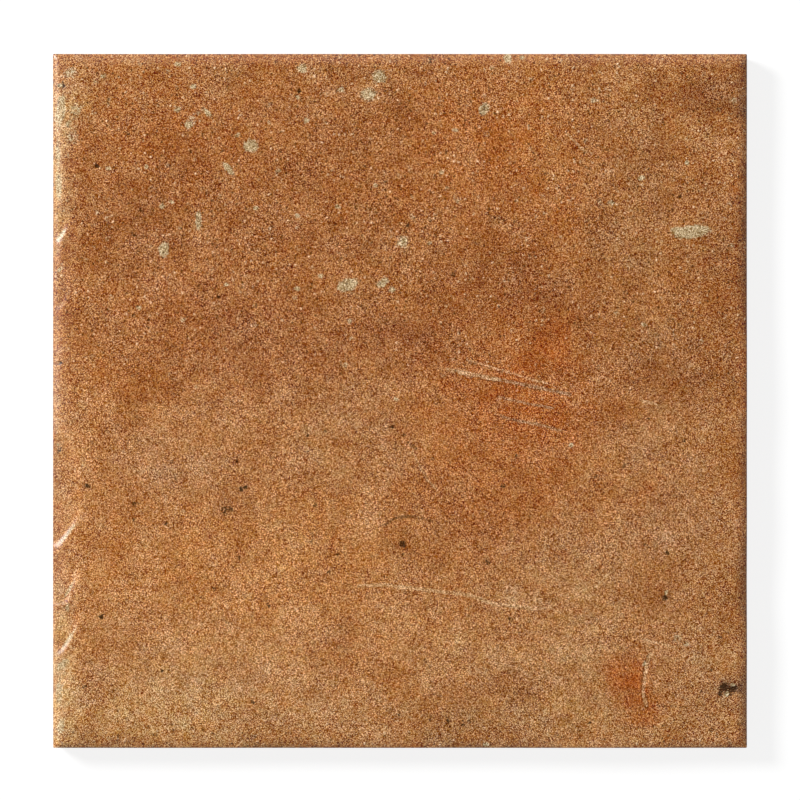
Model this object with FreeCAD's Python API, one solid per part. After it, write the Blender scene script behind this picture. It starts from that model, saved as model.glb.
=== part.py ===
"""Square terracotta floor tile with a softly rolled, hand-hewn rim and a keyed back.

The tile is one piece of pressed and fired clay. It lies face up: the wearing face looks along +Z,
the back rests on Z = 0, and the origin is the middle of the back. +X is the right of the face and
+Y is its top. All lengths are millimetres and all angles are degrees.
"""
import FreeCAD
import Part
import math
import os

from FreeCAD import Vector

# Body
side_length = 200.0
thickness = 10.0
corner_radius = 0.3

# Lower wall, which draws in towards the back so that the tile leaves its press mould
heel_height = 3.5
heel_setback = 0.5

# Back: a grid of shallow cells that the adhesive keys into, inside a flat border
back_border = 10.0
cell_size = 15.0
cell_corner_cut = 1.6
cell_depth = 1.0
cell_draw = 0.6
rib_width = 3.0

# Rolled rim: how steeply the roll breaks away from the flat face
roll_break_angle = 8.0

# Each side's roll: (share of the way along the side, width, drop at the wall).
# The sides run anticlockwise seen from above, each from its own first corner.
left_roll = [
    (0.00, 1.9, 0.7), (0.08, 2.3, 1.0), (0.16, 2.9, 1.5), (0.22, 3.0, 1.6), (0.29, 2.8, 1.2),
    (0.42, 3.4, 1.1), (0.53, 2.9, 0.9), (0.63, 2.4, 0.8), (0.74, 2.4, 0.8), (0.86, 3.1, 1.1),
    (0.94, 2.9, 1.2), (1.00, 3.0, 1.5),
]
front_roll = [
    (0.00, 2.0, 1.0), (0.06, 2.1, 0.9), (0.15, 1.9, 0.6), (0.24, 2.2, 0.7), (0.37, 2.3, 0.9),
    (0.50, 2.2, 0.7), (0.63, 2.2, 0.9), (0.72, 1.8, 0.5), (0.82, 1.9, 0.5), (0.92, 2.2, 0.9),
    (1.00, 2.2, 1.0),
]
right_roll = [
    (0.00, 2.3, 1.0), (0.09, 2.6, 1.2), (0.17, 2.3, 0.9), (0.29, 2.6, 1.1), (0.35, 2.2, 0.8),
    (0.40, 2.5, 1.0), (0.49, 1.9, 0.6), (0.56, 1.9, 0.6), (0.65, 2.5, 1.1), (0.76, 2.8, 1.3),
    (0.86, 2.5, 1.1), (0.93, 2.2, 0.8), (1.00, 2.3, 1.0),
]
rear_roll = [
    (0.00, 2.5, 1.0), (0.08, 2.8, 1.2), (0.16, 2.4, 0.9), (0.24, 1.9, 0.6), (0.35, 2.6, 1.0),
    (0.46, 2.0, 0.7), (0.53, 2.4, 0.9), (0.60, 1.9, 0.7), (0.73, 2.5, 0.9), (0.87, 2.7, 1.0),
    (1.00, 1.8, 0.7),
]

# Spalls: thin flakes that the hewing took off the left rim. Each has its depth and its rim line,
# as (share of the way along the side, distance in from the wall).
spall_slope = 33.0
spall_floor_tilt = 2.0
spalls = [
    (0.50, [(0.226, 2.4), (0.247, 4.3), (0.263, 3.0), (0.279, 1.2)]),
    (0.35, [(0.305, 2.0), (0.325, 4.6), (0.347, 4.4), (0.368, 2.2)]),
    (0.55, [(0.550, 1.8), (0.575, 6.8), (0.610, 8.0), (0.650, 8.2), (0.674, 6.9), (0.693, 4.2), (0.709, 1.5)]),
    (0.50, [(0.720, 2.0), (0.738, 7.2), (0.752, 7.2), (0.770, 5.8), (0.786, 4.8), (0.795, 2.0)]),
    (0.55, [(0.796, 2.0), (0.808, 7.6), (0.825, 6.9), (0.845, 5.2), (0.860, 3.0), (0.868, 1.5)]),
    (0.35, [(0.870, 1.5), (0.880, 5.2), (0.895, 4.8), (0.908, 3.2), (0.916, 2.0)]),
]

# How far the cutting bodies run clear of the tile
clearance = 1.5


def rounded_square(side, radius, height):
    """Closed wire of a square with rounded corners, centred on the Z axis at the given height."""
    reach = side / 2
    straight = reach - radius
    edges = []
    for quarter in range(4):
        turn = FreeCAD.Rotation(Vector(0, 0, 1), 90 * quarter)
        start = turn.multVec(Vector(reach, -straight, height))
        end = turn.multVec(Vector(reach, straight, height))
        edges.append(Part.LineSegment(start, end).toShape())
        middle_of_arc = straight + radius * math.sqrt(0.5)
        middle = turn.multVec(Vector(middle_of_arc, middle_of_arc, height))
        arc_end = turn.multVec(Vector(straight, reach, height))
        edges.append(Part.Arc(end, middle, arc_end).toShape())
    return Part.Wire(edges)


def pressed_blank():
    """The tile as it leaves the mould: upright walls above a heel that draws in to the back."""
    back = rounded_square(side_length - 2 * heel_setback, corner_radius, 0)
    heel = rounded_square(side_length, corner_radius, heel_height)
    face = rounded_square(side_length, corner_radius, thickness)
    return Part.makeLoft([back, heel, face], True, True)


def cut_cornered_square(side, corner_cut, height):
    """Closed wire of a square with its corners cut off, centred on the Z axis at the given height."""
    reach = side / 2
    corners = []
    for quarter in range(4):
        turn = FreeCAD.Rotation(Vector(0, 0, 1), 90 * quarter)
        corners.append(turn.multVec(Vector(reach, reach - corner_cut, height)))
        corners.append(turn.multVec(Vector(reach - corner_cut, reach, height)))
    return Part.makePolygon([*corners, corners[0]])


def back_cells():
    """Bodies of all the cells of the back's grid, which narrow with depth.

    Their number each way is even, so that two ribs cross in the middle of the back.
    """
    pitch = cell_size + rib_width
    keyed_span = side_length - 2 * heel_setback - 2 * back_border
    count = 2 * int((keyed_span + rib_width) / (2 * pitch))
    first = -(count - 1) * pitch / 2
    flare = cell_draw * clearance / cell_depth
    mouth = cut_cornered_square(cell_size + 2 * flare, cell_corner_cut, -clearance)
    floor = cut_cornered_square(cell_size - 2 * cell_draw, cell_corner_cut, cell_depth)
    cell = Part.makeLoft([mouth, floor], True, True)
    cells = []
    for row in range(count):
        for column in range(count):
            copy = cell.copy()
            copy.translate(Vector(first + column * pitch, first + row * pitch, 0))
            cells.append(copy)
    return cells


def on_left_side(along, inset, height):
    """A point given by its way down the left side and its distance in from that side's wall."""
    return Vector(inset - side_length / 2, side_length / 2 - along, height)


def roll_section(along, width, drop):
    """Section of the body that cuts one side's roll: everything above the roll's arc.

    The arc breaks away from the face at width in from the wall and is down by drop at the wall.
    It carries on past the wall by a quarter of its sweep, and both its ends run out straight.
    """
    break_angle = math.radians(roll_break_angle)
    chord_angle = math.atan2(drop, width)
    wall_angle = 2 * chord_angle - break_angle
    end_angle = wall_angle + (wall_angle - break_angle) / 4
    radius = math.hypot(width, drop) / (2 * math.sin(chord_angle - break_angle))
    centre_inset = width + radius * math.sin(break_angle)
    centre_height = thickness - radius * math.cos(break_angle)

    def on_arc(angle):
        inset = centre_inset - radius * math.sin(angle)
        return inset, centre_height + radius * math.cos(angle)

    end_inset, end_height = on_arc(end_angle)
    top = thickness + clearance
    places = [
        on_arc(break_angle),
        on_arc((break_angle + end_angle) / 2),
        (end_inset, end_height),
        (-clearance, end_height - (end_inset + clearance) * math.tan(end_angle)),
        (-clearance, top),
        (width + clearance / math.tan(break_angle), top),
    ]
    crest, middle, end, *corners = (on_left_side(along, inset, height) for inset, height in places)
    straights = Part.makePolygon([end, *corners, crest])
    return Part.Wire([Part.Arc(crest, middle, end).toShape(), *straights.Edges])


def roll_cutter(stations):
    """Body above one side's roll, along the left side and clear past both of its corners."""
    first_width, first_drop = stations[0][1:]
    last_width, last_drop = stations[-1][1:]
    sections = [roll_section(-clearance, first_width, first_drop)]
    for share, width, drop in stations:
        sections.append(roll_section(share * side_length, width, drop))
    sections.append(roll_section(side_length + clearance, last_width, last_drop))
    return Part.makeLoft(sections, True, False)


def spall_outline(rim, outset, height):
    """Closed wire round a spall at one height, with its rim line grown outwards by outset."""
    middle = side_length * (rim[0][0] + rim[-1][0]) / 2
    half_length = side_length * (rim[-1][0] - rim[0][0]) / 2
    stretch = (half_length + outset) / half_length
    places = [(middle + stretch * (side_length * share - middle), inset + outset) for share, inset in rim]
    places = [(places[0][0], -clearance), *places, (places[-1][0], -clearance)]
    points = [on_left_side(along, inset, height) for along, inset in places]
    line = Part.BSplineCurve()
    line.interpolate(points)
    return Part.Wire([line.toShape(), Part.LineSegment(points[-1], points[0]).toShape()])


def spall_cutter(depth, rim):
    """Body of one flake: a sloping rim round a floor that falls towards the wall."""
    slope_run = depth / math.tan(math.radians(spall_slope))
    floor = spall_outline(rim, -slope_run, thickness - depth)
    above = spall_outline(rim, slope_run, thickness + depth)
    flake = Part.makeLoft([floor, above], True, True)
    reach = max(inset for share, inset in rim)
    flake.rotate(on_left_side(0, reach, thickness), Vector(0, 1, 0), -spall_floor_tilt)
    return flake


def floor_tile():
    """The finished tile."""
    tile = pressed_blank().cut(back_cells())
    for quarter, stations in enumerate([left_roll, front_roll, right_roll, rear_roll]):
        cutter = roll_cutter(stations)
        cutter.rotate(Vector(0, 0, 0), Vector(0, 0, 1), 90 * quarter)
        tile = tile.cut(cutter)
    return tile.cut([spall_cutter(depth, rim) for depth, rim in spalls])


os.makedirs("parts", exist_ok=True)
tile = floor_tile()
print("floor_tile: solids", len(tile.Solids), "valid", tile.isValid(), "volume", round(tile.Volume, 1))
tile.exportStep("parts/floor_tile.step")
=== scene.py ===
"""A square terracotta floor tile, lying face up on a pale floor and seen from straight above."""
import math

import bpy
import numpy as np
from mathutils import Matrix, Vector, noise


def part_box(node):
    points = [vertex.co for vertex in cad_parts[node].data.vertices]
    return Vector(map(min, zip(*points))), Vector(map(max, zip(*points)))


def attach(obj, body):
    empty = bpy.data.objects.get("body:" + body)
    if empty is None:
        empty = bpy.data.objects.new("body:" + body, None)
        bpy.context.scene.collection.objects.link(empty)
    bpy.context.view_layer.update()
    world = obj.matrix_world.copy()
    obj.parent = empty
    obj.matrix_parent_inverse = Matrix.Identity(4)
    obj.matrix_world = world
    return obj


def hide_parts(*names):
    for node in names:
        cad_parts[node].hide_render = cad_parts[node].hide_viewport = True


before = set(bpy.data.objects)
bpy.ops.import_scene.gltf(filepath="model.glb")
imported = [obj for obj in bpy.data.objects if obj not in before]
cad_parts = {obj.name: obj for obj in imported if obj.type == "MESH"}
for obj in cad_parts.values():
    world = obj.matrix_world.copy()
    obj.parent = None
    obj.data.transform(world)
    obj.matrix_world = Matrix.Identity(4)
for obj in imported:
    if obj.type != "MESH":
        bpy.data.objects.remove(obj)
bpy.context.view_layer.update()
bpy.ops.object.select_all(action="DESELECT")

# The tile: one piece of pressed and fired terracotta, with a rolled rim that is hewn along its left
# side. It lies on the floor on its back, which is keyed with shallow cells for the adhesive.
MM = 0.001
low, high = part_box("floor_tile")
side = high[0] - low[0]
top = high[2]

# Lime and grog grains in the face, and painted highlights: (x, y, length, width, turn in degrees,
# paleness), in mm from the middle of the tile. The last four rows, along the left edge, are partly
# pale grains and partly painted highlights, laid where the lamp lights the left rim and its flakes.
grains_and_highlights = [
    (-95, 94.5, 4.5, 3.2, 20, 0.5), (-98, 90.8, 1.4, 1.2, 0, 1.0), (-85.5, 93.5, 1.8, 1.4, 0, 0.6),
    (-64, 97, 2.4, 1.6, 0, 0.6), (-59.5, 90.5, 1.8, 1.6, 0, 0.8), (-64, 84, 2.2, 1.8, 30, 0.6),
    (-60.8, 79.5, 2.8, 2.4, 0, 0.7), (-43, 73.5, 4.2, 3.6, 10, 0.9), (-49.3, 66.8, 4.6, 1.6, 130, 0.9),
    (-84, 67, 1.6, 1.4, 0, 0.7), (-73, 67.5, 1.5, 1.3, 0, 0.6), (-68.5, 56, 1.6, 1.5, 0, 0.7),
    (-65.8, 57.2, 1.5, 1.3, 0, 0.6), (-58, 52, 5.2, 1.7, 90, 0.9), (-41.5, 55.5, 1.7, 1.3, 0, 0.7),
    (-68, 43.5, 4.0, 2.8, 80, 0.9), (-35, 66.3, 2.6, 1.2, 20, 0.5), (-50, 33.5, 1.6, 1.3, 0, 0.7),
    (-28, 95.7, 3.0, 2.6, 0, 0.7), (-29.5, 87.5, 2.0, 1.8, 0, 0.5), (-17, 89.7, 2.4, 1.8, 0, 0.6),
    (-6, 93.5, 4.4, 4.0, 15, 0.7), (-9, 88.2, 5.2, 4.2, 0, 0.6), (-27, 80.7, 2.0, 1.6, 0, 0.6),
    (31, 98.8, 2.4, 3.0, 0, 0.7), (35.2, 99, 1.6, 1.4, 0, 0.7), (26.5, 96, 1.8, 1.3, 0, 0.5),
    (24.2, 84, 3.4, 2.6, 60, 0.9), (16, 78, 2.2, 1.6, 0, 0.5), (9.8, 77.2, 1.8, 1.5, 0, 0.5),
    (-7, 62, 1.8, 1.4, 0, 0.6), (-18, 56, 2.0, 1.6, 0, 0.6), (16.5, 57.6, 1.8, 1.5, 0, 0.5),
    (13.5, 61.4, 1.5, 1.3, 0, 0.5), (0.8, 45.8, 3.8, 3.2, 70, 0.6), (8.4, 45.5, 1.6, 1.3, 0, 0.6),
    (-29.7, 53.3, 1.7, 1.4, 0, 0.6), (-15, 33.4, 5.6, 3.2, 20, 1.0), (-5, 34, 3.6, 2.0, 35, 0.9),
    (-2.2, 32, 2.0, 1.6, 0, 0.8), (-22.8, 36, 1.8, 1.5, 0, 0.6), (-29.7, 32.3, 2.0, 1.5, 0, 0.7),
    (84, 48.7, 9.6, 3.4, 8, 1.0), (79.5, 49, 2.8, 2.0, 0, 1.0), (60.8, 57, 2.2, 1.6, 0, 0.6),
    (69.5, 64.3, 2.4, 1.5, 20, 0.6), (82.7, 68.6, 1.5, 1.3, 0, 0.9), (55.6, 86.5, 2.2, 1.7, 0, 0.5),
    (96, 86.5, 3.0, 2.2, 0, 0.4), (-75.2, 26.8, 1.8, 1.4, 0, 0.6), (-62.5, 23.3, 1.8, 1.4, 0, 0.5),
    (-58.8, 4, 1.6, 1.3, 0, 0.5), (-14.4, 23, 1.8, 1.5, 0, 0.6), (-14, 18.2, 1.6, 1.4, 0, 0.5),
    (-15.8, 10.4, 2.2, 1.6, 0, 0.5), (-1.2, 0.6, 1.8, 1.4, 0, 0.6), (70.3, 22, 2.0, 1.5, 0, 0.5),
    (49.3, -12.7, 1.5, 1.3, 0, 0.8), (82.4, -70, 2.2, 1.6, 0, 0.5), (24.8, -99, 1.5, 1.2, 0, 1.0),
    (-93.5, 83.5, 5.5, 4.5, 70, 0.45), (-94.5, 76, 4.5, 6.0, 0, 0.4), (12, 66, 2.0, 1.5, 0, 0.5),
    (94.2, -84.4, 1.6, 1.0, 70, 1.0), (95.8, -81.8, 1.3, 0.9, 0, 0.9), (76.6, -55.2, 1.5, 1.0, 60, 0.9),
    (-98.4, -12.6, 1.4, 1.0, 0, 0.6), (79.8, -68.5, 3.4, 2.4, 30, 0.4), (70.4, -75.6, 1.8, 1.0, 60, 0.7),
    (-84, 86, 1.4, 3.4, 0, 0.4), (-97.5, 87, 2.4, 2.0, 0, 0.7), (-95.5, 80, 2.2, 1.5, 50, 0.6),
    (-55.5, 83, 3.6, 1.6, 140, 0.6), (-60, 81.5, 2.0, 1.5, 0, 0.5), (-47, 76.5, 2.2, 1.4, 30, 0.5),
    # These four rows are partly painted highlights along the left rim and the rims of its flakes.
    (-97.8, 83, 10, 3.6, 80, 0.55), (-98.6, 71, 9, 1.6, 90, 0.55), (-98.4, 62, 10, 2.2, 90, 0.6),
    (-97.6, 47.8, 4.5, 1.4, 50, 0.7), (-97.8, 38, 3.0, 1.4, 40, 0.5), (-95.5, -38.0, 9, 1.2, 51, 0.55),
    (-95.4, -54.4, 7, 1.2, 60, 0.5), (-95.7, -69, 9, 1.2, 56, 0.55), (-95.8, -59.5, 3.0, 1.4, 80, 0.5),
    (-97.2, -76, 5, 2.4, 40, 0.55), (-98.2, -84, 10, 2.6, 90, 0.5), (-97.8, -94, 6, 3.0, 80, 0.55),
]

# Pits and iron spots: (x, y, width across, darkness, depth), in mm.
pits = [
    (-51, 72, 1.2, 0.8, 0.20), (-60.2, 71.7, 1.1, 0.8, 0.20), (-78.4, 77, 1.5, 0.6, 0.15),
    (-87.3, 67.7, 1.3, 0.9, 0.25), (-74.6, 55, 1.3, 0.8, 0.20), (-76.6, 47.6, 1.2, 0.8, 0.20),
    (-52.4, 30, 1.1, 0.8, 0.15), (-29, 89.3, 1.3, 1.0, 0.25), (9, 98, 2.6, 0.6, 0.05),
    (2.3, 50.4, 1.4, 0.8, 0.20), (15.6, 36.3, 1.4, 0.8, 0.20), (60.8, 75, 1.2, 0.7, 0.15),
    (80.7, 59, 1.2, 0.7, 0.15), (-76.6, 24.5, 1.2, 0.8, 0.20), (-72.3, 23.3, 1.2, 0.8, 0.20),
    (-98, 11, 1.5, 0.8, 0.15), (-98.2, -14, 1.6, 0.8, 0.20), (-65.7, -17.6, 1.2, 0.7, 0.15),
    (-47, -17.3, 1.2, 0.7, 0.15), (-90, -24.5, 1.5, 0.9, 0.20), (-45.8, -25.4, 1.5, 1.0, 0.25),
    (-44.4, -24.8, 1.1, 1.0, 0.20), (-76.4, -29.7, 1.9, 0.7, 0.15), (-50.4, -31.7, 2.6, 0.65, 0.12),
    (-48.8, -31.0, 1.4, 0.8, 0.15), (-84.2, 85.9, 1.2, 0.6, 0.10), (0.9, -10, 1.2, 0.7, 0.15),
    (-2, -7.5, 1.1, 0.7, 0.15), (9.5, -16.4, 1.2, 0.7, 0.15), (33.4, -16, 1.3, 0.8, 0.15),
    (29.7, -24.5, 1.3, 0.8, 0.15), (-26.5, -10, 1.1, 0.7, 0.15), (-26.8, -14.7, 1.1, 0.7, 0.15),
    (-21.6, -8.6, 1.1, 0.7, 0.15), (-24.5, -30, 1.2, 0.7, 0.15), (71.5, -5, 1.2, 0.7, 0.15),
    (81.8, -11.5, 1.2, 0.7, 0.15), (56.2, -21.6, 1.2, 0.7, 0.15), (94.8, 8, 1.1, 0.7, 0.10),
    (-53.6, -54, 1.3, 0.8, 0.20), (-85.9, -62.2, 1.5, 0.9, 0.20), (-38, -58.8, 1.3, 0.8, 0.15),
    (-68.6, -77.8, 1.2, 0.7, 0.15), (-90.8, -82.4, 1.3, 0.8, 0.15), (-42.4, -86.7, 1.3, 0.8, 0.15),
    (-46.4, -45.2, 1.2, 0.6, 0.10), (-76.6, -34.3, 1.2, 0.7, 0.15), (-67.4, -35.2, 1.2, 0.7, 0.15),
    (-17.9, -44, 1.2, 0.6, 0.10), (0.9, -41.2, 2.0, 1.0, 0.35), (0.9, -44, 1.2, 0.6, 0.10),
    (-20.5, -49.3, 1.2, 0.7, 0.15), (32, -62.8, 1.5, 0.7, 0.15), (25, -46.7, 1.8, 0.7, 0.15),
    (13.8, -92.2, 1.2, 0.8, 0.15), (18, -92.8, 1.4, 0.8, 0.15), (20, -92.2, 1.2, 0.8, 0.15),
    (-0.3, -90.5, 1.2, 0.7, 0.15), (-4.3, -50.7, 1.2, 0.7, 0.15), (77, -43.8, 1.3, 0.8, 0.15),
    (71, -42, 2.0, 0.5, 0.10), (76.4, -56.8, 1.6, 0.9, 0.25), (92.2, -68, 1.2, 0.7, 0.15),
    (89.6, -77.5, 1.2, 0.7, 0.15), (86.7, -83.6, 1.3, 0.7, 0.15), (89.6, -94.8, 2.2, 0.5, 0.10),
    (54.8, -92.8, 1.2, 0.7, 0.15), (46, -96.5, 1.5, 0.6, 0.10), (93.4, -82.4, 2.6, 1.0, 0.35),
    (96.2, -82.8, 2.2, 1.0, 0.35), (94.8, -84.0, 2.4, 0.9, 0.30), (92.2, -84.2, 1.4, 0.9, 0.20),
    (-97, 90.6, 1.4, 0.9, 0.20), (-96.8, 92, 1.0, 0.6, 0.10), (-88.7, 13, 1.0, 0.6, 0.10),
]

# Scratches and cracks: (width in mm, kind, strength, depth, points).
scratches = [
    (1.0, "pale", 0.9, 0.10, [(13.8, 9), (20, 7.8), (28, 6.2)]),
    (1.0, "grey", 0.9, 0.10, [(27, 6.4), (37.5, 4.3), (49, 1.9)]),
    (0.7, "pale", 0.55, 0.06, [(19.3, 11.8), (27.4, 9.5), (36.6, 6.6), (42.7, 4.9)]),
    (0.9, "grey", 0.7, 0.04, [(28, 1.2), (36, -0.6), (44, -2.1)]),
    (0.9, "grey", 0.75, 0.05, [(29, -4.4), (34, -5.8), (40.6, -6.9), (46.5, -8.6)]),
    (0.5, "dark", 0.5, 0.05, [(14.5, 8.1), (28, 5.3), (40, 2.9)]),
    (0.5, "dark", 0.45, 0.04, [(20, 10.9), (33, 7.0)]),
    (0.9, "dark", 0.6, 0.10, [(2.3, -11.8), (4.6, -13.8)]),
    (0.7, "pale", 0.65, 0.04, [(3.7, -14.7), (6.3, -19.9), (8.4, -23.3), (10.7, -25.6)]),
    (0.8, "dark", 0.6, 0.12, [(-4.9, -36), (-1.7, -34), (2.6, -33.1), (6, -33.7), (9.5, -34.6)]),
    (0.9, "pale", 1.0, 0.06,
     [(-12, -53.3), (-4, -53), (3.2, -53.9), (10.4, -54.8), (20, -55.9), (27, -58.5), (37.5, -59.7)]),
    (0.8, "pale", 0.6, 0.04, [(47.8, 77.2), (53.6, 71.5)]),
    (0.7, "dark", 0.5, 0.08, [(57, 73.5), (60, 72.3)]),
    (0.7, "dark", 0.5, 0.08, [(51, 68.6), (54.8, 66.9)]),
    (0.6, "dark", 0.4, 0.06, [(49.3, 62.5), (46.4, 57.6)]),
    (0.6, "dark", 0.4, 0.06, [(56.2, 61), (58.8, 54.5)]),
    (0.6, "dark", 0.4, 0.06, [(65.7, 64.3), (68.6, 61.7)]),
    (0.7, "dark", 0.5, 0.08, [(65, -18.2), (63.7, -19.6)]),
    (0.6, "dark", 0.4, 0.06, [(-65, -21), (-64, -23.9)]),
    (0.6, "dark", 0.4, 0.06, [(-64.3, -47.3), (-65.4, -49.6)]),
    (0.6, "dark", 0.5, 0.08, [(-25, -37.8), (-25.6, -41.5)]),
    (0.6, "dark", 0.5, 0.06, [(73.8, -87.6), (82.7, -88.2)]),
    (0.7, "pale", 0.45, 0.03, [(-54.2, -44), (-53.3, -50.4)]),
    (0.8, "pale", 0.6, 0.03, [(69.5, 0), (74.6, -1.2)]),
    (0.7, "pale", 0.65, 0.03, [(56, -53.9), (59.7, -50)]),
    (0.8, "pale", 0.6, 0.03, [(70, -68.6), (79, -70.9)]),
    (1.5, "dark", 0.6, 0.10, [(71.5, -73.8), (70.6, -77.2), (70, -81), (70.3, -85), (71, -87.9)]),
    (0.8, "pale", 1.0, 0.02, [(72.3, -72.8), (71, -75.6), (70.6, -79), (70.2, -82), (70, -85), (71, -87.6)]),
    (0.8, "pale", 0.35, 0.03, [(-95.5, -52), (-92, -47), (-88.5, -42.5)]),
    (0.6, "pale", 0.5, 0.03, [(37.5, -60.4), (42.5, -59.4), (47.8, -61.6)]),
    (0.6, "pale", 0.45, 0.02, [(1.8, -24), (4.6, -27.5)]),
]

# The face starts as a level grid just above the tile, cut finer near the rim and round the small
# marks, and is let down onto the solid, so that it has the solid's rolls and flakes.
face_cells = 128
rim_band = 4.4 * MM
hewn_band = 9.6 * MM
hewn_from = 0.28 * side
lift = 5 * MM
edge_margin = 0.05 * MM
corner_radius = 0.3 * MM

bpy.ops.mesh.primitive_grid_add(
    x_subdivisions=face_cells, y_subdivisions=face_cells, size=side - 2 * edge_margin,
    location=(0, 0, top + lift),
)
tile = bpy.context.object
tile.name = "tile"
tile.data.name = "tile"
bpy.ops.object.transform_apply(location=True)
bpy.context.tool_settings.mesh_select_mode = (False, False, True)


def places(mesh, of="vertices", what="co"):
    """The places of a mesh's vertices or faces, as an array of x, y, z."""
    found = np.empty(3 * len(getattr(mesh, of)))
    getattr(mesh, of).foreach_get(what, found)
    return found.reshape(-1, 3)


def inset(x, y):
    """How far a place lies in from the nearest side."""
    return side / 2 - np.maximum(abs(x), abs(y))


def off_line(x, y, points):
    """Distance from each place to a line through the given points."""
    nearest = np.full(len(x), np.inf)
    for (ax, ay), (bx, by) in zip(points, points[1:]):
        run_x, run_y = bx - ax, by - ay
        share = ((x - ax) * run_x + (y - ay) * run_y) / (run_x ** 2 + run_y ** 2)
        share = np.clip(share, 0, 1)
        nearest = np.minimum(nearest, np.hypot(x - ax - share * run_x, y - ay - share * run_y))
    return nearest


def near_marks(x, y, room):
    """Which places lie within room of a grain or a painted highlight, a pit or a scratch."""
    x, y, room = x / MM, y / MM, room / MM
    near = np.zeros(len(x), bool)
    for mark_x, mark_y, length, width, turn, paleness in grains_and_highlights:
        near |= np.hypot(x - mark_x, y - mark_y) < max(length, width) / 2 + room
    for mark_x, mark_y, width, darkness, depth in pits:
        near |= np.hypot(x - mark_x, y - mark_y) < width / 2 + room
    for width, kind, strength, depth, points in scratches:
        near |= off_line(x, y, points) < width / 2 + room
    return near


for room in (1.6 * MM, 0.5 * MM):
    middles = places(tile.data, "polygons", "center")
    x, y = middles[:, 0], middles[:, 1]
    from_side = inset(x, y)
    wanted = from_side < rim_band + room
    wanted |= (x + side / 2 < hewn_band + room) & (y < hewn_from)
    wanted |= near_marks(x, y, room)
    bpy.ops.object.mode_set(mode="EDIT")
    bpy.ops.mesh.select_all(action="DESELECT")
    bpy.ops.object.mode_set(mode="OBJECT")
    tile.data.polygons.foreach_set("select", wanted)
    bpy.ops.object.mode_set(mode="EDIT")
    bpy.ops.mesh.subdivide(number_cuts=1, ngon=False)
    bpy.ops.object.mode_set(mode="OBJECT")

# The four corners are drawn in to the corner radius, and the grid is let down onto the solid.
found = places(tile.data)
corner_reach = side / 2 - edge_margin - corner_radius * (1 - math.sqrt(0.5))
is_corner = (abs(found[:, 0]) > corner_reach) & (abs(found[:, 1]) > corner_reach)
found[is_corner, :2] = np.sign(found[is_corner, :2]) * corner_reach
tile.data.vertices.foreach_set("co", found.ravel())
seat = tile.modifiers.new("seat", "SHRINKWRAP")
seat.wrap_method = "PROJECT"
seat.use_project_z = True
seat.use_positive_direction = False
seat.use_negative_direction = True
seat.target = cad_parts["floor_tile"]
bpy.ops.object.modifier_apply(modifier="seat")

# The rim is eased by hand, all but the outline itself, so that each crest is slightly worn.
bpy.context.tool_settings.mesh_select_mode = (True, False, False)
found = places(tile.data)
from_side = inset(found[:, 0], found[:, 1])
hewn = (found[:, 0] + side / 2 < hewn_band + 1 * MM) & (found[:, 1] < hewn_from)
eased = (from_side > 2 * edge_margin) & ((from_side < rim_band + 1 * MM) | hewn)
bpy.ops.object.mode_set(mode="EDIT")
bpy.ops.mesh.select_all(action="DESELECT")
bpy.ops.object.mode_set(mode="OBJECT")
tile.data.vertices.foreach_set("select", eased)
bpy.ops.object.mode_set(mode="EDIT")
bpy.ops.mesh.vertices_smooth(factor=0.5, repeat=6, xaxis=False, yaxis=False, zaxis=True)
bpy.ops.object.mode_set(mode="OBJECT")

# Pits and scratches are pressed in, and the whole face is worn a little uneven.
reach = side / 2 - 0.01 * MM
bpy.ops.transform.resize(value=(reach / (side / 2 - edge_margin),) * 2 + (1,), center_override=(0, 0, 0))
bpy.ops.object.transform_apply(scale=True)


def waves(where, size, start):
    """Soft waves, from about -1 to 1 and about size across, at each of the places."""
    shift = Vector((start, 0, 0))
    return np.array([noise.noise(Vector(place) / size + shift) for place in where])


def rounded(distance):
    """1 at distance 0, falling smoothly to 0 at distance 1 and beyond."""
    return np.cos(np.clip(distance, 0, 1) * math.pi) / 2 + 0.5


found = places(tile.data)
x, y = found[:, 0] / MM, found[:, 1] / MM
from_side = inset(found[:, 0], found[:, 1]) / MM
sunk = 0.06 + 0.03 * waves(found, 26 * MM, 11) + 0.015 * waves(found, 7 * MM, 12)
worn = np.clip(1 - from_side / 4, 0, 1)
worn = np.maximum(worn, np.clip(1.3 - from_side / 8, 0, 1) * (found[:, 0] < 0) * (found[:, 1] < hewn_from))
sunk += worn * (0.05 + 0.05 * waves(found, 2.6 * MM, 13) + 0.03 * waves(found, 1.1 * MM, 14))
for mark_x, mark_y, width, darkness, depth in pits:
    sunk += depth * rounded(np.hypot(x - mark_x, y - mark_y) / (0.7 * width))
for width, kind, strength, depth, points in scratches:
    sunk += depth * rounded(off_line(x, y, points) / (0.7 * width))
found[:, 2] = np.minimum(found[:, 2], top) - np.maximum(sunk, 0) * MM
tile.data.vertices.foreach_set("co", found.ravel())

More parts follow.
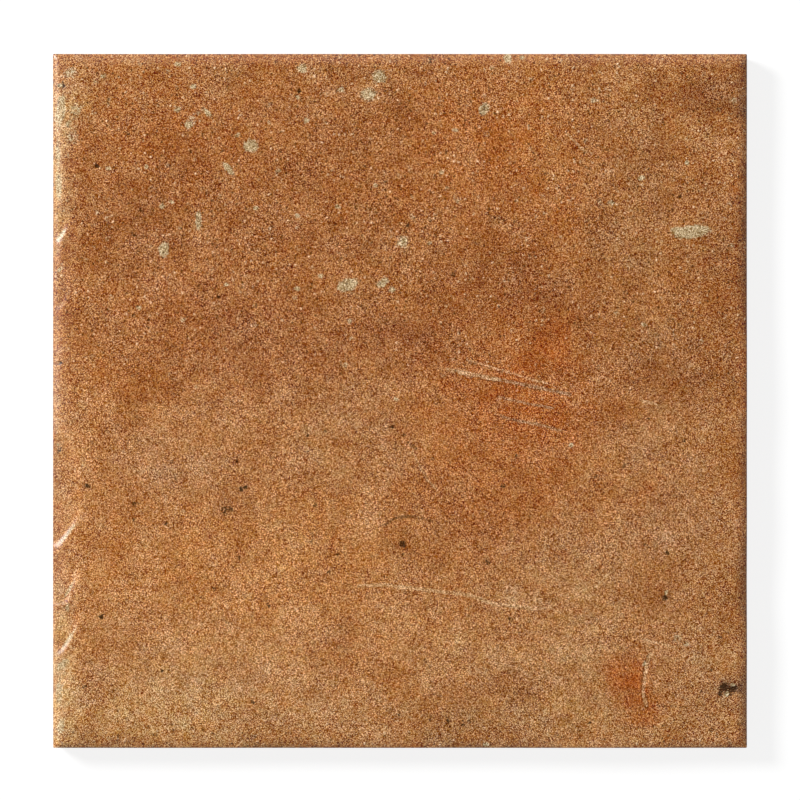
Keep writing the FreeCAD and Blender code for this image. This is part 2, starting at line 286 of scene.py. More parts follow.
# The walls: the outline is drawn down, with a worn arris, to a heel that draws in to the back.
bpy.context.tool_settings.mesh_select_mode = (False, True, False)
bpy.ops.object.mode_set(mode="EDIT")
bpy.ops.mesh.select_all(action="DESELECT")
bpy.ops.mesh.select_non_manifold(
    use_wire=False, use_boundary=True, use_multi_face=False, use_non_contiguous=False, use_verts=False
)
arris = 0.12 * MM
heel_height = 3.5
heel_setback = 0.5 * MM
foot_wear = 0.15 * MM
bpy.ops.transform.resize(value=((reach - arris) / reach,) * 2 + (1,), center_override=(0, 0, 0))
for row, height in enumerate([None, 7.3, 6.1, 4.8, heel_height, 2.1, 0.5, 0.0]):
    bpy.ops.mesh.extrude_region_move(TRANSFORM_OT_translate={"value": (0, 0, 0)})
    bpy.ops.object.mode_set(mode="OBJECT")
    found = places(tile.data)
    chosen = np.empty(len(found), bool)
    tile.data.vertices.foreach_get("select", chosen)
    ring = found[chosen]
    grown = np.max(abs(ring[:, :2]))
    if row == 0:
        ring[:, :2] *= reach / grown
        ring[:, 2] -= 1.2 * arris
    else:
        draw = heel_setback * max(0, 1 - height / heel_height) + (foot_wear if height == 0 else 0)
        uneven = 0.05 * MM * (1 + waves(ring, 9 * MM, 21 + row))
        outline = np.max(abs(ring[:, :2]), axis=1, keepdims=True)
        ring[:, :2] *= (reach - draw - uneven[:, None]) / np.where(outline > reach - 1 * MM, outline, reach)
        ring[:, 2] = height * MM
    found[chosen] = ring
    tile.data.vertices.foreach_set("co", found.ravel())
    bpy.ops.object.mode_set(mode="EDIT")
bpy.ops.object.mode_set(mode="OBJECT")

# The back's cells: one is pressed into a piece of the back, and repeated ten by ten.
cell_pitch = 18 * MM
cell_mouth = 15 * MM
cells_across = 10
cell_corner_cut = 1.6 * MM
cell_levels = ((0.1, 14.8), (0.7, 14.0), (0.2, 13.7))
first_cell = -cell_pitch * (cells_across - 1) / 2
bpy.ops.object.select_all(action="DESELECT")
bpy.ops.mesh.primitive_plane_add(
    size=cell_pitch, location=(first_cell, first_cell, 0), rotation=(math.pi, 0, 0)
)
cell = bpy.context.object
cell.name = "cell"
bpy.ops.object.transform_apply(location=True, rotation=True)
bpy.ops.object.mode_set(mode="EDIT")
bpy.context.tool_settings.mesh_select_mode = (True, False, False)
bpy.ops.mesh.inset(thickness=(cell_pitch - cell_mouth) / 2)
bpy.ops.mesh.bevel(offset=cell_corner_cut, affect="VERTICES")
bpy.ops.mesh.select_all(action="DESELECT")
bpy.ops.object.mode_set(mode="OBJECT")
sizes = [face.area for face in cell.data.polygons]
mouth = sizes.index(max(sizes))
bpy.context.tool_settings.mesh_select_mode = (False, False, True)
for face in cell.data.polygons:
    face.select = face.index == mouth
bpy.ops.object.mode_set(mode="EDIT")
for deeper, width in cell_levels:
    bpy.ops.mesh.extrude_region_move(TRANSFORM_OT_translate={"value": (0, 0, deeper * MM)})
    bpy.ops.transform.resize(
        value=(width * MM / cell_mouth,) * 2 + (1,), center_override=(first_cell, first_cell, 0)
    )
    cell_mouth = width * MM
bpy.ops.object.mode_set(mode="OBJECT")
for direction in ((1, 0, 0), (0, 1, 0)):
    row = cell.modifiers.new("row", "ARRAY")
    row.use_relative_offset = False
    row.use_constant_offset = True
    row.constant_offset_displace = Vector(direction) * cell_pitch
    row.count = cells_across
    row.use_merge_vertices = True
    row.merge_threshold = 0.01 * MM
    bpy.ops.object.modifier_apply(modifier="row")
tile.select_set(True)
bpy.context.view_layer.objects.active = tile
bpy.ops.object.join()
bpy.context.tool_settings.mesh_select_mode = (False, True, False)
bpy.ops.object.mode_set(mode="EDIT")
bpy.ops.mesh.select_all(action="DESELECT")
bpy.ops.mesh.select_non_manifold(
    use_wire=False, use_boundary=True, use_multi_face=False, use_non_contiguous=False, use_verts=False
)
bpy.ops.mesh.fill(use_beauty=True)
bpy.ops.mesh.select_all(action="SELECT")
bpy.ops.mesh.normals_make_consistent(inside=False)
bpy.ops.object.mode_set(mode="OBJECT")
bpy.ops.object.shade_smooth_by_angle(angle=math.radians(38))

# Its own map: the face in one large square, the walls as four strips beside it, and the back.
# Each wall is sorted by the way that it looks.
unwrapped = tile.data.uv_layers.new(name="OFBake")
loop_corner = np.empty(len(tile.data.loops), np.int32)
tile.data.loops.foreach_get("vertex_index", loop_corner)
corners_of = np.empty(len(tile.data.polygons), np.int32)
tile.data.polygons.foreach_get("loop_total", corners_of)
face_of = np.repeat(np.arange(len(tile.data.polygons)), corners_of)
looks = places(tile.data, "polygons", "normal")[face_of]
at = places(tile.data)[loop_corner]
share = (at + side / 2) / side
level = np.clip(at[:, 2] / top, 0, 1)
margin, face_share, wall_run, back_share = 0.004, 0.75, 0.96, 0.235
first_strip, strip, gap = face_share + 0.012, 0.042, 0.006
flat_map = margin + face_share * share[:, :2]
is_wall = abs(looks[:, 2]) < 0.4
along_x = abs(looks[:, 1]) > abs(looks[:, 0])
for number, chosen in enumerate([
    is_wall & along_x & (looks[:, 1] > 0), is_wall & along_x & (looks[:, 1] < 0),
    is_wall & ~along_x & (looks[:, 0] > 0), is_wall & ~along_x & (looks[:, 0] < 0),
]):
    run = share[chosen, 0] if number < 2 else share[chosen, 1]
    flat_map[chosen, 0] = first_strip + number * (strip + gap) + strip * level[chosen]
    flat_map[chosen, 1] = margin + wall_run * run
under = looks[:, 2] < -0.4
flat_map[under] = margin + back_share * share[under, :2]
flat_map[under, 1] += face_share + 0.006
unwrapped.data.foreach_set("uv", flat_map.ravel())

# The tones of the fired face, painted one over another with a soft brush. The cream and sand strokes
# along the left edge are partly a paler rim and partly a painted highlight, where the lamp lights the
# left rim; the narrow strokes along the bottom edge make it darker, and those along the right edge
# make it darker and warmer.
pigments = {
    "clay": (0.400, 0.165, 0.057),
    "brick": (0.350, 0.130, 0.041),
    "umber": (0.300, 0.112, 0.037),
    "oxblood": (0.290, 0.095, 0.029),
    "ember": (0.400, 0.112, 0.023),
    "rust": (0.410, 0.140, 0.036),
    "amber": (0.450, 0.180, 0.052),
    "ochre": (0.450, 0.215, 0.073),
    "apricot": (0.530, 0.240, 0.090),
    "salmon": (0.440, 0.178, 0.074),
    "sand": (0.465, 0.235, 0.100),
    # cream is also laid along the left rim, where it is partly a painted highlight
    "cream": (0.540, 0.305, 0.135),
    "ash": (0.360, 0.182, 0.080),
    "olive": (0.300, 0.145, 0.056),
    "plum": (0.300, 0.112, 0.046),
    "soot": (0.110, 0.050, 0.026),
    "dust": (0.425, 0.207, 0.092),
    "bisque": (0.420, 0.190, 0.080),
}

# Each stroke: pigment, place, how far it reaches along and across, its turn and its strength,
# in mm and degrees.
strokes = [
    # broad washes
    ("umber", -45, 62, 66, 42, 0, 0.38), ("brick", -55, 62, 60, 42, 0, 0.5),
    ("brick", -30, 20, 62, 20, 0, 0.62), ("umber", -78, 50, 20, 16, 0, 0.38),
    ("oxblood", 33, 31, 30, 13, -8, 0.62), ("oxblood", 8, 18, 14, 12, 0, 0.38),
    ("ember", 37, 1, 20, 24, 0, 0.62), ("brick", 20, -32, 24, 14, 0, 0.8),
    ("umber", 80, 8, 24, 12, 0, 0.62), ("rust", 28, 74, 32, 26, 0, 0.62), ("rust", 45, 52, 24, 16, 0, 0.38),
    ("brick", 20, 52, 28, 14, 0, 0.5), ("ash", 68, 58, 14, 36, 0, 0.25), ("umber", 92, 36, 12, 22, 0, 0.62),
    ("umber", 92, 90, 12, 10, 0, 0.5), ("plum", -44, 18, 26, 16, 0, 0.38),
    ("brick", -80, 20, 16, 16, 0, 0.5), ("dust", -60, -16, 22, 14, 0, 0.38),
    ("dust", -16, -8, 20, 18, 0, 0.38), ("apricot", -24, -40, 40, 14, 0, 0.38),
    ("amber", -45, -50, 56, 22, 0, 0.5), ("apricot", -20, -66, 40, 20, 0, 0.38),
    ("sand", -60, -78, 44, 20, 0, 0.56), ("cream", -70, -90, 34, 14, 0, 0.5),
    ("sand", -20, -92, 34, 12, 0, 0.5), ("sand", 50, -66, 24, 34, 0, 0.56),
    ("cream", 18, -74, 18, 10, 0, 0.25), ("dust", 82, -40, 18, 22, 0, 0.44),
    ("olive", 28, -94, 20, 12, 0, 0.5), ("sand", 60, -92, 40, 12, 0, 0.5),
    ("apricot", -94, -30, 14, 50, 0, 0.31), ("sand", 88, -78, 14, 24, 0, 0.38),
    # The cream and sand strokes at x -99 are partly a paler rim and partly a painted highlight on the lit
    # left rim.
    ("cream", -99, 66, 4, 30, 0, 0.55), ("cream", -99, -70, 4, 18, 0, 0.7),
    ("cream", -99, -90, 6, 16, 0, 0.8), ("sand", -99, 0, 3, 30, 0, 0.4), ("rust", 99, 10, 3, 80, 0, 0.4),
    ("ember", 30, -4, 30, 32, 0, 0.3), ("rust", 20, -26, 24, 22, 0, 0.35),
    ("brick", -50, 14, 50, 14, 0, 0.3), ("umber", 36, 37, 16, 9, 0, 0.35), ("plum", 6, 19, 9, 7, 0, 0.3),
    ("apricot", -62, -58, 36, 26, 0, 0.25), ("rust", -62, 76, 30, 18, 0, 0.25),
    ("ash", 70, -8, 20, 14, 0, 0.2),
    # patches, from the top down
    ("sand", -93, 92, 8, 10, 0, 0.25), ("brick", -74, 90, 13, 8, 0, 0.31), ("ash", -50, 91, 7, 6, 0, 0.31),
    ("brick", -36, 84, 9, 8, 0, 0.31), ("sand", -27, 96, 7, 5, 0, 0.31), ("umber", -12, 96, 5, 4, 0, 0.37),
    ("sand", -8, 92, 5, 4, 0, 0.25), ("umber", -6, 86, 7, 4, 0, 0.31), ("umber", 2, 83, 8, 6, 0, 0.25),
    ("umber", 10, 97, 5, 5, 0, 0.43), ("brick", 25, 91, 14, 5, 0, 0.25), ("amber", 43, 96, 9, 5, 0, 0.31),
    ("umber", 52, 94, 4, 6, 0, 0.31), ("sand", 65, 88, 9, 9, 0, 0.25), ("umber", 74, 86, 4, 5, 0, 0.37),
    ("amber", 80, 95, 6, 4, 0, 0.25), ("umber", 84, 90, 6, 4, 0, 0.37), ("soot", 92, 89, 8, 4, 0, 0.3),
    ("soot", 99, 88, 5, 9, 0, 0.31), ("umber", -64, 67, 11, 7, 50, 0.37),
    ("brick", -28, 69, 10, 7, 0, 0.31), ("umber", -14, 79, 7, 5, 20, 0.31),
    ("brick", -85, 78, 8, 12, 0, 0.25), ("rust", 28, 78, 10, 9, 0, 0.37), ("rust", 21, 70, 8, 8, 0, 0.31),
    ("ochre", 44, 69, 4, 12, 10, 0.25), ("umber", 53, 77, 6, 7, 0, 0.28), ("umber", 74, 73, 6, 10, 0, 0.35),
    ("sand", 84, 77, 7, 6, 0, 0.22), ("brick", 87, 65, 10, 8, 0, 0.28), ("umber", -87, 56, 8, 6, 0, 0.31),
    ("umber", -74, 56, 7, 6, 0, 0.31), ("umber", -82, 43, 7, 5, 0, 0.31), ("sand", -60, 52, 8, 5, 0, 0.22),
    ("rust", -17, 60, 6, 6, 0, 0.25), ("rust", 2, 57, 10, 5, 0, 0.19), ("sand", 46, 50, 6, 6, 0, 0.15),
    ("olive", 57, 45, 7, 12, 0, 0.22), ("ash", 68, 44, 7, 7, 0, 0.25), ("umber", 75, 57, 6, 5, 0, 0.25),
    ("ash", 74, 18, 10, 7, 0, 0.25), ("umber", 88, 43, 9, 5, 0, 0.31), ("rust", 86, 32, 9, 9, 0, 0.25),
    ("soot", 97, 38, 6, 22, 0, 0.15), ("plum", -31, 49, 5, 6, 0, 0.2), ("brick", -32, 39, 14, 7, 0, 0.31),
    ("umber", -19, 46, 9, 5, 0, 0.28), ("oxblood", 34, 40, 12, 7, 110, 0.37),
    ("umber", 48, 32, 6, 6, 0, 0.25), ("umber", 56, 20, 6, 11, 0, 0.4), ("salmon", -66, 33, 9, 8, 0, 0.22),
    ("plum", -55, 24, 9, 7, 0, 0.2), ("umber", -46, 17, 8, 6, 0, 0.22), ("umber", -33, 18, 6, 7, 0, 0.25),
    ("umber", -60, 9, 10, 5, 0, 0.25), ("rust", -82, 7, 12, 5, 0, 0.25), ("plum", -20, 9, 9, 6, 0, 0.31),
    ("dust", -9, 7, 9, 6, 0, 0.3), ("plum", 2, 22, 4, 5, 0, 0.5), ("plum", 3, 13, 4, 4, 0, 0.5),
    ("oxblood", 15, 17, 9, 8, 0, 0.25), ("ember", 43, 18, 6, 7, 0, 0.43), ("ember", 38, 9, 7, 4, 0, 0.5),
    ("ember", 21, 7, 10, 5, 10, 0.3), ("umber", 79, 6, 9, 5, 0, 0.25), ("umber", -33, 0, 7, 4, 0, 0.31),
    ("umber", -17, 2, 6, 5, 0, 0.25), ("dust", -9, -5, 6, 8, 0, 0.2), ("brick", 62, -2, 9, 8, 30, 0.45),
    ("oxblood", 35, -14, 12, 9, 0, 0.12), ("dust", -68, -20, 14, 10, 0, 0.15),
    ("olive", -24, -18, 8, 11, 20, 0.25), ("rust", -27, -20, 6, 5, 0, 0.19),
    ("dust", -3, -17, 8, 9, 0, 0.25), ("umber", 15, -26, 9, 5, 0, 0.4), ("brick", 18, -38, 14, 7, 20, 0.4),
    ("umber", 34, -23, 6, 5, 0, 0.25), ("amber", 59, -22, 8, 12, 0, 0.2), ("umber", 71, -28, 7, 9, 0, 0.12),
    ("dust", 86, -24, 9, 9, 0, 0.15), ("umber", 99, -26, 3, 9, 0, 0.31), ("rust", -85, -40, 9, 10, 0, 0.25),
    ("dust", -70, -38, 7, 8, 0, 0.12), ("umber", -50, -31, 5, 7, 0, 0.31),
    ("rust", -59, -40, 9, 4, 0, 0.25), ("cream", -31, -38, 5, 9, 40, 0.2), ("umber", 2, -42, 4, 6, 0, 0.37),
    ("umber", 8, -40, 5, 7, 0, 0.19), ("umber", 54, -36, 5, 4, 0, 0.12), ("dust", 56, -44, 11, 5, 0, 0.31),
    ("umber", 72, -42, 7, 5, 0, 0.25), ("amber", 86, -52, 8, 7, 0, 0.19),
    ("apricot", -47, -57, 10, 7, 0, 0.19), ("umber", -26, -52, 6, 5, 0, 0.19),
    ("cream", 33, -55, 9, 4, 0, 0.12), ("umber", 47, -53, 4, 4, 0, 0.19),
    ("cream", 56, -53, 4, 6, -35, 0.15), ("umber", 56, -60, 5, 4, 0, 0.15),
    ("umber", 73, -56, 7, 5, 0, 0.19), ("umber", 3, -59, 5, 4, 0, 0.22), ("umber", -78, -65, 8, 6, 0, 0.28),
    ("umber", -18, -66, 5, 11, -12, 0.31), ("apricot", -32, -70, 5, 6, 0, 0.25),
    ("cream", -3, -63, 7, 4, 0, 0.22), ("rust", 36, -66, 7, 5, 0, 0.19), ("dust", 28, -58, 6, 4, 0, 0.19),
    ("sand", 50, -76, 7, 7, 0, 0.25), ("ember", 66.5, -81.5, 7.5, 9, 0, 0.85),
    ("ember", 69.5, -88, 6, 5, 0, 0.6), ("ember", 61, -83, 4, 4, 0, 0.2), ("rust", 68, -88, 4, 5, 0, 0.31),
    ("rust", 77, -86, 5, 3, 0, 0.37), ("oxblood", 88, 89.5, 11, 2.4, -3, 0.5),
    ("umber", 74, 92, 6, 3, -30, 0.35), ("umber", -76, -97, 12, 1.8, 0, 0.4),
    ("umber", -25.5, -72.5, 3, 5, 10, 0.35), ("umber", -51, -76, 5, 3, 0, 0.25),
    ("umber", 61, 25, 4, 8, 20, 0.3), ("rust", 72, -28, 5, 5, 0, 0.3), ("rust", 64, -3, 5, 6, 0, 0.3),
    ("rust", -80, 3, 7, 4, 0, 0.2), ("rust", 45, 27, 4, 6, 0, 0.2), ("rust", 95, 35, 3, 10, 0, 0.3),
    # The two cream strokes at x -97 and -98 are partly a painted highlight on the left rim.
    ("cream", -97, -84, 4, 16, 0, 0.5), ("cream", -98, 68, 3, 18, 0, 0.45),
    ("cream", -96, 84, 5, 8, 0, 0.45), ("cream", -64, -78, 9, 6, 0, 0.25),
    ("brick", -86, -83, 4, 8, 30, 0.35), ("plum", -45, -79, 8, 4, 0, 0.25),
    ("ochre", -42, -72, 7, 4, 0, 0.22), ("dust", -44, -92, 14, 4, 0, 0.31),
    ("cream", 0, -86, 12, 5, 0, 0.15), ("umber", 12, -83, 7, 4, 0, 0.25), ("umber", 34, -83, 6, 6, 0, 0.22),
    ("cream", 48, -90, 7, 5, 0, 0.12), ("umber", 56, -95, 6, 3, 0, 0.25),
    ("soot", 95, -83.5, 4.5, 3, 0, 0.8), ("umber", 83, -85, 5, 4, 0, 0.25),
    # The olive strokes on this line and the next run along the bottom edge and make it darker.
    ("umber", 92, -88, 6, 4, 0, 0.25), ("olive", -87, -98, 14, 4, 0, 0.37),
    ("olive", -38, -98.5, 30, 3, 0, 0.31), ("olive", 8, -98.5, 20, 3, 0, 0.31),
    ("soot", 18, -92, 6, 3, 0, 0.1), ("umber", 28, -95, 8, 4, 0, 0.37), ("umber", 48, 6, 10, 4, 0, 0.3),
    ("plum", -6, 18, 12, 7, 0, 0.35),
]

found = places(tile.data)
astray = 3.5 * MM * np.stack([waves(found, 13 * MM, 31), waves(found, 13 * MM, 37)], axis=1)
astray += 1.6 * MM * np.stack([waves(found, 4.5 * MM, 33), waves(found, 4.5 * MM, 39)], axis=1)
x = (found[:, 0] + astray[:, 0]) / MM
y = (found[:, 1] + astray[:, 1]) / MM


def reached(x, y, stroke_x, stroke_y, along, across, turn):
    """How far each place lies from a stroke's middle, where 1 is the stroke's edge."""
    turn = math.radians(turn)
    off_x, off_y = x - stroke_x, y - stroke_y
    return np.hypot(
        (off_x * math.cos(turn) + off_y * math.sin(turn)) / along,
        (off_y * math.cos(turn) - off_x * math.sin(turn)) / across,
    )


tones = np.tile(pigments["clay"], (len(found), 1))
patchy = np.clip(1.1 + 0.8 * waves(found, 5.5 * MM, 51) + 0.7 * waves(found, 2.8 * MM, 52), 0.1, 2.0)
for pigment, stroke_x, stroke_y, along, across, turn, strength in strokes:
    laid = strength * patchy * rounded((reached(x, y, stroke_x, stroke_y, along, across, turn) - 0.1) / 1.3)
    tones += (np.array(pigments[pigment]) - tones) * np.clip(laid, 0, 1)[:, None]

# The fine grain evens the tones out, blue the most, so they are spread about their middle first.
eye = 2.4
middle_tone = np.array((0.682, 0.470, 0.303))
spread = (1.06, 1.17, 1.55)
darkest = 0.03
tones = np.maximum(middle_tone + (tones ** (1 / eye) - middle_tone) * spread, darkest) ** eye

# The walls and the back are bare clay, below the lowest that the rim comes down to.
rim_foot = 8.1 * MM
bare = (found[:, 2] < rim_foot).astype(float)
tones += (np.array(pigments["bisque"]) - tones) * bare[:, None]


def paint(name, values):
    """Keeps one value at each vertex, which the material reads."""
    kept = tile.data.attributes.new(name, "FLOAT", "POINT")
    kept.data.foreach_set("value", values.astype(np.float32))


tone = tile.data.attributes.new("tone", "FLOAT_COLOR", "POINT")
tone.data.foreach_set("color", np.column_stack([tones, np.ones(len(tones))]).astype(np.float32).ravel())
paint("bare", bare)

# The seal lies thickest on the rim, most of all on the left, and the face is crumbly towards its top.
from_side = inset(found[:, 0], found[:, 1]) / MM
from_left = (found[:, 0] + side / 2) / MM
glazed = 1 - np.clip((from_side - 1.3) / 2.6, 0, 1)
glazed *= np.where((x > 0) & (x > abs(y)) | (y < 0) & (-y > abs(x)), 0.4, 1)
glazed = np.maximum(glazed, (1 - np.clip((from_left - 2) / 6, 0, 1)) * (0.7 + 0.3 * waves(found, 6 * MM, 43)))
paint("glazed", np.clip(glazed, 0, 1) * (1 - bare))
x, y = found[:, 0] / MM, found[:, 1] / MM
crumbled = rounded((25 - y) / 30) + 0.6 * rounded(reached(x, y, 30, -62, 34, 14, 0))
crumbled += 0.8 * rounded((y + 98) / 16) + 0.5 * waves(found, 12 * MM, 53)
paint("crumbled", np.clip(0.25 + 0.75 * crumbled, 0.1, 1) * (1 - bare))

# The grains and the painted highlights on the left rim, the pits and the scratches, each fading out at its
# edge
chalk_and_highlights = np.zeros(len(x))
for mark_x, mark_y, length, width, turn, paleness in grains_and_highlights:
    away = reached(x, y, mark_x, mark_y, length / 2, width / 2, turn)
    chalk_and_highlights = np.maximum(chalk_and_highlights, paleness * np.clip(1.5 - away, 0, 1))
paint("chalk_and_highlights", chalk_and_highlights * (1 - bare))
spots = np.zeros(len(x))
for mark_x, mark_y, width, darkness, depth in pits:
    away = np.hypot(x - mark_x, y - mark_y) / (width / 2)
    spots = np.maximum(spots, darkness * np.clip(1.6 - away, 0, 1))
paint("spot", spots * (1 - bare))
lines = {kind: np.zeros(len(x)) for kind in ("pale", "grey", "dark")}
for width, kind, strength, depth, points in scratches:
    line = strength * np.clip(1.5 - off_line(x, y, points) / (width / 2), 0, 1)
    lines[kind] = np.maximum(lines[kind], line)
for kind, drawn_line in lines.items():
    paint(kind + "_line", drawn_line * (1 - bare))

# Fired clay with a satin seal: its tones are painted, and its grain, specks and wear are patterns.
clay = bpy.data.materials.new("fired_terracotta")
clay.use_nodes = True
nodes, links = clay.node_tree.nodes, clay.node_tree.links
surface = nodes["Principled BSDF"]


def put(kind, sockets, **settings):
    """Adds a node with its settings, and sets or links its sockets."""
    added = nodes.new(kind)
    for name, value in settings.items():
        setattr(added, name, value)
    for name, value in sockets.items():
        if isinstance(value, bpy.types.NodeSocket):
            links.new(value, added.inputs[name])
        else:
            added.inputs[name].default_value = value
    return added


def calc(operation, first, second, third=0.0):
    """The result of one Math node, whose third value counts only where it multiplies and adds."""
    return put("ShaderNodeMath", {0: first, 1: second, 2: third}, operation=operation).outputs[0]


def vector_calc(operation, first, second):
    """The result of one Vector Math node, which works on each of three values."""
    return put("ShaderNodeVectorMath", {0: first, 1: second}, operation=operation).outputs[0]


def blend(share, below, above, kind="MIX"):
    """One colour laid over another."""
    sockets = {0: share, 6: below, 7: above}
    return put("ShaderNodeMix", sockets, data_type="RGBA", blend_type=kind).outputs[2]


def stepped(value, start, end):
    """0 below start, 1 above end, and smooth between."""
    sockets = {"Value": value, "From Min": start, "From Max": end}
    return put("ShaderNodeMapRange", sockets, interpolation_type="SMOOTHSTEP").outputs["Result"]


def about_middle(value, strength, base):
    """The base raised where the value is over a half and lowered where it is under."""
    return calc("MULTIPLY_ADD", calc("SUBTRACT", value, 0.5), strength, base)


def painted(name, output="Fac"):
    """What was painted on the mesh under that name."""
    return put("ShaderNodeAttribute", {}, attribute_name=name, attribute_type="GEOMETRY").outputs[output]


spot_of = put("ShaderNodeTexCoord", {}).outputs["Object"]
in_mm = put("ShaderNodeMapping", {"Vector": spot_of, "Scale": (1 / MM,) * 3}).outputs["Vector"]


def grain(cells_per_mm, shift, detail=2, roughness=0.6, distortion=0):
    """Soft noise with that many cells in a millimetre."""
    sockets = {
        "Vector": vector_calc("ADD", in_mm, (shift, -shift, shift)), "Scale": cells_per_mm,
        "Detail": detail, "Roughness": roughness, "Distortion": distortion,
    }
    return put("ShaderNodeTexNoise", sockets).outputs["Fac"]


def pebbles(cells_per_mm, shift):
    """A mosaic of small cells: how far each place is from its cell's middle, and the cell's colour."""
    return put("ShaderNodeTexVoronoi", {"Vector": vector_calc("ADD", in_mm, shift), "Scale": cells_per_mm})


def drawn(mosaic):
    """One random value for each cell of a mosaic, from 0 to 1."""
    return put("ShaderNodeSeparateColor", {"Color": mosaic.outputs["Color"]}).outputs["Red"]


def sprinkled(cells_per_mm, size, kept, shift):
    """Small round specks, one in some of the cells."""
    cells = pebbles(cells_per_mm, (shift, shift, shift))
    near = stepped(cells.outputs["Distance"], size * cells_per_mm, 0.4 * size * cells_per_mm)
    return calc("MULTIPLY", near, calc("LESS_THAN", drawn(cells), kept))


# The grain: random silt, coarser crumbs and clouds, and stains with firmer edges
silt = pebbles(5.3, (3, -3, 3))
fine = grain(3.0, shift=3, roughness=0.75)
crumb = grain(0.62, shift=17, detail=3)
rag = calc("SUBTRACT", grain(1.5, shift=9), 0.5)
crumbly = painted("crumbled")
busy = calc("MULTIPLY_ADD", stepped(grain(0.09, shift=53), 0.35, 0.65), 0.24, 0.88)
lightness = calc("MULTIPLY", about_middle(drawn(silt), 4.1, 0), busy)
lightness = about_middle(crumb, calc("MULTIPLY_ADD", crumbly, 0.14, 0.21), lightness)
lightness = about_middle(grain(0.13, shift=41, detail=3), 1.25, lightness)
stain = stepped(grain(0.075, shift=19, detail=3, distortion=0.4), 0.5, 0.6)
lightness = calc("MULTIPLY_ADD", calc("SUBTRACT", 0.35, stain), 0.12, lightness)

# The colour: the painted tones, varied from pale to warm, from blue to orange and from green to red
warmth = stepped(grain(0.21, shift=77, detail=3), 0.3, 0.7)
hue = about_middle(grain(0.7, shift=63), 2.4, 0.5)
flush = about_middle(grain(0.33, shift=57), 2.4, 0.5)
tint = blend(warmth, (0.975, 0.917, 0.665, 1), (1.01, 0.868, 0.458, 1))
tint = blend(1.0, tint, blend(hue, (0.97, 1.03, 1.15, 1), (1.03, 0.97, 0.85, 1)), "MULTIPLY")
tint = blend(1.0, tint, blend(flush, (0.975, 1.04, 1.0, 1), (1.025, 0.96, 1.0, 1)), "MULTIPLY")
colour = blend(1.0, painted("tone", "Color"), tint, "MULTIPLY")
colour = blend(crumbly, colour, (0.95, 0.89, 0.74, 1), "MULTIPLY")


def broken(name, start, end, rough, by=rag):
    """A painted mark whose edge is broken up by the grain."""
    return stepped(calc("MULTIPLY_ADD", by, rough, painted(name)), start, end)


# The marks: specks and flecks in the clay, and the painted grains, left-rim highlights, pits and scratches
pale_specks = calc("MULTIPLY", sprinkled(0.55, 0.50, 0.4, 5), crumbly)
dark_specks = calc("MULTIPLY", sprinkled(0.7, 0.40, 0.45, 23), calc("MULTIPLY_ADD", crumbly, 0.7, 0.3))
flecks = calc("MULTIPLY", sprinkled(0.24, 1.1, 0.35, 47), stepped(rag, -0.06, 0.1))
flecks = calc("MULTIPLY", flecks, crumbly)
# Pale grains, and the painted highlights along the left rim
chalky_and_highlit = broken("chalk_and_highlights", 0.2, 0.6, 0.9)
scraped = broken("pale_line", 0.15, 0.6, 0.8)
dulled = broken("grey_line", 0.15, 0.75, 0.8)
pitting = about_middle(drawn(pebbles(2.8, (87, -87, 87))), 0.7, rag)
spotted = calc("MULTIPLY", broken("spot", 0.4, 0.85, 0.9, pitting), calc("SUBTRACT", 1.0, chalky_and_highlit))
cracked = calc("MULTIPLY", broken("dark_line", 0.1, 0.8, 0.9, pitting), calc("SUBTRACT", 1.0, scraped))
for mark, strength, mark_colour in (
    (flecks, 0.65, (0.47, 0.31, 0.15, 1)),
    (pale_specks, 0.85, (0.66, 0.39, 0.19, 1)),
    (dulled, 0.65, (0.315, 0.165, 0.066, 1)),
    (scraped, 0.6, (0.56, 0.33, 0.145, 1)),
    # The pale grain colour, which also paints the highlights along the left rim
    (chalky_and_highlit, 0.85, (0.47, 0.335, 0.165, 1)),
):
    colour = blend(calc("MULTIPLY", mark, strength), colour, mark_colour)

# The grain lightens and darkens all of this by equal steps to the eye, and the dark marks lie over
# the grain. What the white room's reflection adds is taken off again.
seen_as = put("ShaderNodeGamma", {"Color": colour, "Gamma": 1 / eye}).outputs["Color"]
seen_as = vector_calc("ADD", seen_as, vector_calc("MULTIPLY", lightness, (0.156, 0.172, 0.182)))
seen_as = vector_calc("MAXIMUM", seen_as, (0.05, 0.05, 0.05))
colour = put("ShaderNodeGamma", {"Color": seen_as, "Gamma": eye}).outputs["Color"]
for mark, strength, mark_colour in (
    (dark_specks, 0.85, (0.10, 0.040, 0.014, 1)),
    (cracked, 0.8, (0.095, 0.042, 0.017, 1)),
    (spotted, 0.92, (0.036, 0.018, 0.009, 1)),
):
    colour = blend(calc("MULTIPLY", mark, strength), colour, mark_colour)
colour = vector_calc("SUBTRACT", colour, (0.009, 0.009, 0.009))
colour = vector_calc("MAXIMUM", colour, (0.001, 0.001, 0.001))
links.new(colour, surface.inputs["Base Color"])

gloss = calc("MULTIPLY_ADD", crumb, 0.24, 0.36)
gloss = calc("MULTIPLY_ADD", painted("bare"), 0.3, gloss)
gloss = calc("MULTIPLY_ADD", chalky_and_highlit, 0.2, gloss)
links.new(calc("MINIMUM", gloss, 0.95), surface.inputs["Roughness"])
surface.inputs["Specular IOR Level"].default_value = 0.05
links.new(painted("glazed"), surface.inputs["Coat Weight"])
surface.inputs["Coat Roughness"].default_value = 0.34

sandy = pebbles(1.6, (29, -29, 29)).outputs["Distance"]
height = calc("MULTIPLY", fine, 0.15)
for layer, raised in (
    (sandy, -0.05), (crumb, 0.08), (dark_specks, -0.12), (pale_specks, 0.10), (flecks, 0.08), (chalky_and_highlit, -0.02)
):
    height = calc("MULTIPLY_ADD", layer, raised, height)
relief = put("ShaderNodeBump", {"Height": height, "Strength": 1.0, "Distance": MM})
links.new(relief.outputs["Normal"], surface.inputs["Normal"])
tile.data.materials.append(clay)

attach(tile, "root")
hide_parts("floor_tile")

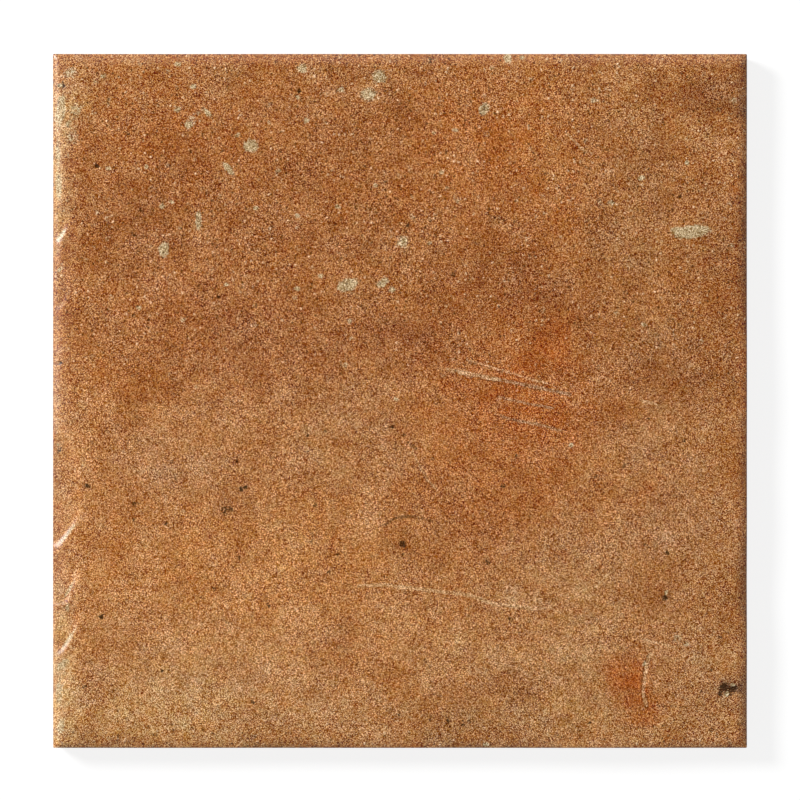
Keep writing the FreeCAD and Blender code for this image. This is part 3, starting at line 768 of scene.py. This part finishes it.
# The floor: a plain white sheet, wide enough to run out of every view. The tile lies on it, and it
# keeps the tile's shadow.
bpy.ops.object.select_all(action="DESELECT")
bpy.ops.mesh.primitive_plane_add(size=6, location=(0, 0, -0.2 * MM))
floor = bpy.context.object
floor.name = "floor"
floor.data.name = "floor"
bpy.ops.object.transform_apply(location=True)
sheet = bpy.data.materials.new("white_sheet")
sheet.use_nodes = True
nodes, links = sheet.node_tree.nodes, sheet.node_tree.links
nodes.clear()


def seen_straight():
    """1 for what the camera sees, itself or in a reflection, and 0 for light that only bounces."""
    ray = put("ShaderNodeLightPath", {})
    seen = calc("MAXIMUM", ray.outputs["Is Camera Ray"], ray.outputs["Is Glossy Ray"])
    return calc("MAXIMUM", seen, ray.outputs["Is Transmission Ray"])


lit = put("ShaderNodeBsdfDiffuse", {"Color": (0.8, 0.8, 0.8, 1)})
faint = put("ShaderNodeBsdfDiffuse", {"Color": (0.2, 0.2, 0.2, 1)})
white = put("ShaderNodeEmission", {"Color": (1, 1, 1, 1), "Strength": 0.85})
shown = put("ShaderNodeAddShader", {0: faint.outputs[0], 1: white.outputs[0]})
either = put("ShaderNodeMixShader", {0: seen_straight(), 1: lit.outputs[0], 2: shown.outputs[0]})
put("ShaderNodeOutputMaterial", {"Surface": either.outputs[0]})
floor.data.materials.append(sheet)

# The light: a soft lamp to the left of the tile and a little towards its top, and a pale room.
lamp_far = 2.4
lamp_round = math.radians(150)
lamp_up = math.radians(38)
lamp_way = Vector((math.cos(lamp_round), math.sin(lamp_round), 0)) * math.cos(lamp_up)
lamp_way.z = math.sin(lamp_up)
bpy.ops.object.light_add(type="AREA", location=lamp_way * lamp_far)
lamp = bpy.context.object
lamp.name = "lamp"
lamp.data.shape = "DISK"
lamp.data.size = 0.8
lamp.data.energy = 72
lamp.rotation_euler = lamp_way.to_track_quat("Z", "Y").to_euler()
room = bpy.data.worlds.new("room")
bpy.context.scene.world = room
room.use_nodes = True
nodes, links = room.node_tree.nodes, room.node_tree.links
nodes.clear()
room_light = 0.22
brightness = calc("MULTIPLY_ADD", seen_straight(), 1 - room_light, room_light)
air = put("ShaderNodeBackground", {"Color": (1, 1, 1, 1), "Strength": brightness})
put("ShaderNodeOutputWorld", {"Surface": air.outputs[0]})

# The camera looks straight down from 1.6 m above the face, with a long lens.
camera_height = 1.5999
camera_aim = 0.268 * MM
bpy.ops.object.camera_add(location=(0, camera_aim, top + camera_height), rotation=(0, 0, 0))
camera = bpy.context.object
camera.name = "camera"
camera.data.lens = 250
camera.data.sensor_width = 36
bpy.context.scene.camera = camera
bpy.context.scene.view_settings.view_transform = "Standard"
